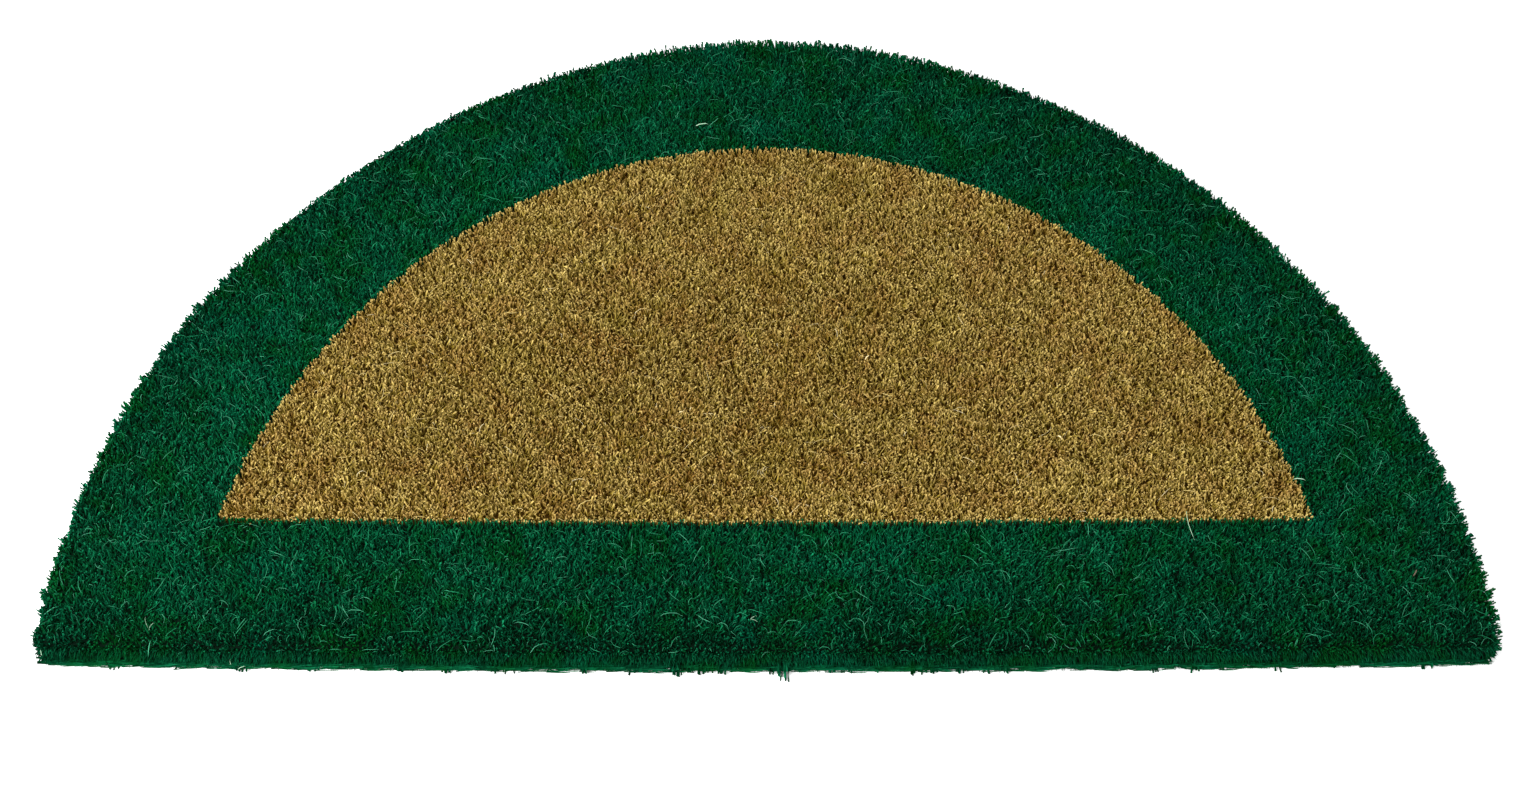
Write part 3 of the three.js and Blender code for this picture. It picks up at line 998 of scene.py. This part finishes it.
def strands(name, paths, radius, tone, seed):
    """A mesh of closed, three-sided strands, each thinning to a point at the end of its path."""
    count, steps, _ = paths.shape
    random = np.random.default_rng(seed)
    along = np.diff(paths, axis=1)
    along /= np.linalg.norm(along, axis=2, keepdims=True)
    upright = np.abs(along[:, :, 2:]) > 0.9
    side = np.cross(along, np.where(upright, (1.0, 0.0, 0.0), (0.0, 0.0, 1.0)))
    side /= np.linalg.norm(side, axis=2, keepdims=True)
    across = np.cross(along, side)
    turn = random.uniform(0, TURN, count)[:, None, None, None] + np.arange(3)[:, None] * (TURN / 3)
    ring = np.cos(turn) * side[:, :, None] + np.sin(turn) * across[:, :, None]
    rings = paths[:, :-1, None] + ring * radius[:, None, None, None]
    points = np.concatenate([rings.reshape(count, -1, 3), paths[:, -1:]], axis=1)
    faces, places = strand_faces(steps)
    size = points.shape[1]
    corners = faces[None] + size * np.arange(count)[:, None, None]
    mesh = mesh_of(name, points.reshape(-1, 3), corners.ravel())
    add_numbers(mesh, "tone", np.repeat(np.clip(tone, 0, 1), size))
    # From 0 at the lower end to 1 at the upper end
    share = np.append(np.repeat(np.arange(steps - 1) / (steps - 1), 3), 1.0)
    falls = paths[:, :1, 2] > paths[:, -1:, 2]
    add_numbers(mesh, "along", np.where(falls, 1 - share, share).ravel())
    cells = math.ceil(math.sqrt(count))
    cell = np.stack([np.arange(count) % cells, np.arange(count) // cells], 1)
    places = (cell[:, None, None] + places[None]) / cells
    mesh.uv_layers.new(name=MAP_NAME).uv.foreach_set("vector", places.ravel())
    return mesh


def strand_faces(steps):
    """One strand's triangles, and the place of each of their corners in the strand's cell of the map."""
    low, high = 0.06, 0.94
    level = np.linspace(low, high, steps)
    faces, places = [(0, 2, 1)], [((low, low), (0.5, high), (high, low))]
    for ring in range(steps - 1):
        for side in range(3):
            a, b = 3 * ring + side, 3 * ring + (side + 1) % 3
            if ring == steps - 2:
                faces.append((a, b, 3 * ring + 3))
                places.append(((low, level[ring]), (high, level[ring]), (0.5, level[ring + 1])))
                continue
            faces += [(a, b, b + 3), (a, b + 3, a + 3)]
            first, second = (low, level[ring]), (high, level[ring])
            third, fourth = (high, level[ring + 1]), (low, level[ring + 1])
            places += [(first, second, third), (first, third, fourth)]
    return np.array(faces), np.array(places)


def mesh_of(name, points, corners):
    """A mesh of triangles, from points in plan and height."""
    mesh = bpy.data.meshes.new(name)
    mesh.vertices.add(len(points))
    mesh.vertices.foreach_set("co", (points + np.array([0, CORNER_LINE, LOW.z])).ravel())
    mesh.loops.add(len(corners))
    mesh.loops.foreach_set("vertex_index", corners)
    mesh.polygons.add(len(corners) // 3)
    mesh.polygons.foreach_set("loop_start", np.arange(0, len(corners), 3))
    mesh.update(calc_edges=True)
    mesh.shade_flat()
    return mesh


def add_numbers(mesh, name, values):
    layer = mesh.attributes.new(name, "FLOAT", "POINT")
    layer.data.foreach_set("value", np.asarray(values, dtype=np.float32))


def stacked_loops(name, loops):
    """A closed mesh through loops of as many points each, with a fan over each end."""
    count = len(loops[0])
    ends = [loops[0].mean(axis=0), loops[-1].mean(axis=0)]
    points = np.concatenate([*loops, ends])
    first, last = len(points) - 2, len(points) - 1
    i = np.arange(count)
    after = (i + 1) % count
    top = (len(loops) - 1) * count
    triangles = [np.stack([np.full(count, first), after, i], 1)]
    triangles.append(np.stack([np.full(count, last), top + i, top + after], 1))
    for level in range(len(loops) - 1):
        low, high = level * count, (level + 1) * count
        triangles.append(np.stack([low + i, low + after, high + after], 1))
        triangles.append(np.stack([low + i, high + after, high + i], 1))
    return mesh_of(name, points, np.concatenate(triangles).ravel())


def add_piece(mesh, material):
    piece = bpy.data.objects.new(mesh.name, mesh)
    bpy.context.scene.collection.objects.link(piece)
    mesh.materials.append(material)
    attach(piece, "root")
    return piece


def add_strands(name, pile, material, slot, parts=1):
    """Adds strands as one piece, or shared out between parts so that no piece grows too large."""
    for part in range(parts):
        paths, radius, tone = (values[part::parts] for values in pile)
        number = f"_{part + 1}" if parts > 1 else ""
        add_piece(strands(name + number, paths, radius, tone, SEEDS["turns"] + part), material)


class DOORMAT_OT_backing(Operator):
    """Make the woven backing with the roots of the pile."""

    bl_idname = "doormat.backing"
    bl_label = "Backing"

    def execute(self, context):
        places = np.arange(BACKING_POINTS) / BACKING_POINTS
        loops = []
        for level in BACKING_LEVELS:
            x, y = outline(level["set_back"], places).T
            above_front = y - level["set_back"] + FRONT_BOW * (1 - (x / HALF_WIDTH) ** 2)
            y = y - level["forward"] * np.clip(1 - above_front / FORWARD_FADE, 0, 1)
            loops.append(np.column_stack([x, y, np.full(BACKING_POINTS, level["height"])]))
        piece = add_piece(stacked_loops("backing", loops), backing_material())
        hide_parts("coir_mat")
        return {"FINISHED"}


class DOORMAT_OT_dyed_pile(Operator):
    """Make the dyed pile of the border."""

    bl_idname = "doormat.dyed_pile"
    bl_label = "Dyed pile"
    parts: whole_number("Parts", "Pieces that the tufts are shared between", 3)

    def execute(self, context):
        add_strands("dyed_pile", standing_pile(True), dyed_material(), "dyed_coir", self.parts)
        return {"FINISHED"}


class DOORMAT_OT_natural_pile(Operator):
    """Make the natural pile of the middle."""

    bl_idname = "doormat.natural_pile"
    bl_label = "Natural pile"
    parts: whole_number("Parts", "Pieces that the tufts are shared between", 2)

    def execute(self, context):
        add_strands("natural_pile", standing_pile(False), natural_material(), "natural_coir", self.parts)
        return {"FINISHED"}


class DOORMAT_OT_edge_pile(Operator):
    """Make the pile that shows up the side: ragged locks round the back and a neat front."""

    bl_idname = "doormat.edge_pile"
    bl_label = "Edge pile"

    def execute(self, context):
        material = bpy.data.materials["dyed_fibre"]
        add_strands("round_edge_pile", round_side_pile(), material, "dyed_coir")
        add_strands("front_edge_pile", front_side_pile(), material, "dyed_coir")
        for number, layer in enumerate(FOOT_LAYERS):
            fibres = foot_fibres(layer, SEEDS["foot"] + number)
            add_strands(f"front_foot_{number + 1}", fibres, material, "dyed_coir")
        return {"FINISHED"}


class DOORMAT_OT_loose_fibres(Operator):
    """Make the loose fibres: dyed, natural, caught in the border, and sticking out of the rim."""

    bl_idname = "doormat.loose_fibres"
    bl_label = "Loose fibres"

    def execute(self, context):
        loose, colours = settings().loose, settings().colours
        dyed = loose_material("loose_dyed_fibre", colours.dyed_light, colours.dyed_loose)
        natural = loose_material("loose_natural_fibre", colours.natural_light, colours.natural_pale)
        caught = loose_material("caught_fibre", colours.dyed_loose, colours.caught)
        husk = loose_material("caught_husk", darker(colours.husk, HUSK_DARK), colours.husk)
        on_border = loose_pile(True, loose.dyed, SEEDS["loose dyed"])
        on_middle = loose_pile(False, loose.natural, SEEDS["loose natural"])
        piles = (
            ("loose_dyed", on_border, dyed, "dyed_coir"),
            ("loose_rim", rim_fibres(loose.rim, SEEDS["rim"]), dyed, "dyed_coir"),
            ("loose_natural", on_middle, natural, "natural_coir"),
            ("caught_undyed", placed_fibres("caught"), caught, "natural_coir"),
            ("caught_husk", placed_fibres("husk"), husk, "natural_coir"),
            ("pale_bits", placed_fibres("pale"), natural, "natural_coir"),
            ("teal_curls", placed_fibres("teal"), dyed, "dyed_coir"),
        )
        for pile in piles:
            add_strands(*pile)
        return {"FINISHED"}


class DOORMAT_OT_stage(Operator):
    """Make the floor, the lights and the camera."""

    bl_idname = "doormat.stage"
    bl_label = "Stage"

    def execute(self, context):
        stage, scene = settings().stage, context.scene
        bpy.ops.mesh.primitive_plane_add(size=stage.floor_size, location=(0, 0, LOW.z + FLOOR_RISE))
        floor = context.active_object
        floor.name = "floor"
        shader = Shader("floor_paint", Roughness=0.9, Specular_IOR_Level=0.0, Base_Color=stage.floor)
        shader.paint(Emission_Color=(1, 1, 1), Emission_Strength=stage.floor_glow)
        floor.data.materials.append(shader.material)
        world = bpy.data.worlds.new("studio")
        world.use_nodes = True
        background = world.node_tree.nodes["Background"]
        background.inputs["Color"].default_value = (1, 1, 1, 1)
        background.inputs["Strength"].default_value = stage.sky
        scene.world = world
        lamp = bpy.data.lights.new("key", "AREA")
        lamp.shape, lamp.size, lamp.energy = "DISK", stage.key_size, stage.key
        key = bpy.data.objects.new("key", lamp)
        key.location = stage.key_place
        key.rotation_euler = (-key.location).to_track_quat("-Z", "Y").to_euler()
        scene.collection.objects.link(key)
        camera = bpy.data.objects.new("camera", bpy.data.cameras.new("camera"))
        camera.data.lens, camera.data.sensor_width = stage.lens, stage.sensor
        camera.location = stage.camera
        camera.rotation_euler = (stage.tilt, 0, stage.turn)
        scene.collection.objects.link(camera)
        scene.camera = camera
        scene.view_settings.view_transform = "Standard"
        return {"FINISHED"}


class DOORMAT_PT_sidebar(Panel):
    """The doormat's pieces and settings."""

    bl_label = "Half Round Doormat"
    bl_space_type = "VIEW_3D"
    bl_region_type = "UI"
    bl_category = "Doormat"

    def draw(self, context):
        for group in ("pile", "loose", "colours", "stage"):
            box = self.layout.box()
            values = getattr(context.scene.half_round_doormat, group)
            for name in values.__annotations__:
                box.prop(values, name)
        for operator in OPERATORS:
            self.layout.operator(operator.bl_idname)


OPERATORS = (
    DOORMAT_OT_backing,
    DOORMAT_OT_dyed_pile,
    DOORMAT_OT_natural_pile,
    DOORMAT_OT_edge_pile,
    DOORMAT_OT_loose_fibres,
    DOORMAT_OT_stage,
)
GROUPS = (PileSizes, LooseSizes, MatColours, StageSettings, DoormatSettings)
CLASSES = (*GROUPS, *OPERATORS, DOORMAT_PT_sidebar)


def register():
    for one in CLASSES:
        bpy.utils.register_class(one)
    bpy.types.Scene.half_round_doormat = PointerProperty(type=DoormatSettings)


def unregister():
    del bpy.types.Scene.half_round_doormat
    for one in reversed(CLASSES):
        bpy.utils.unregister_class(one)


def main():
    register()
    bpy.ops.doormat.backing()
    bpy.ops.doormat.dyed_pile()
    bpy.ops.doormat.natural_pile()
    bpy.ops.doormat.edge_pile()
    bpy.ops.doormat.loose_fibres()
    bpy.ops.doormat.stage()


if __name__ == "__main__":
    main()
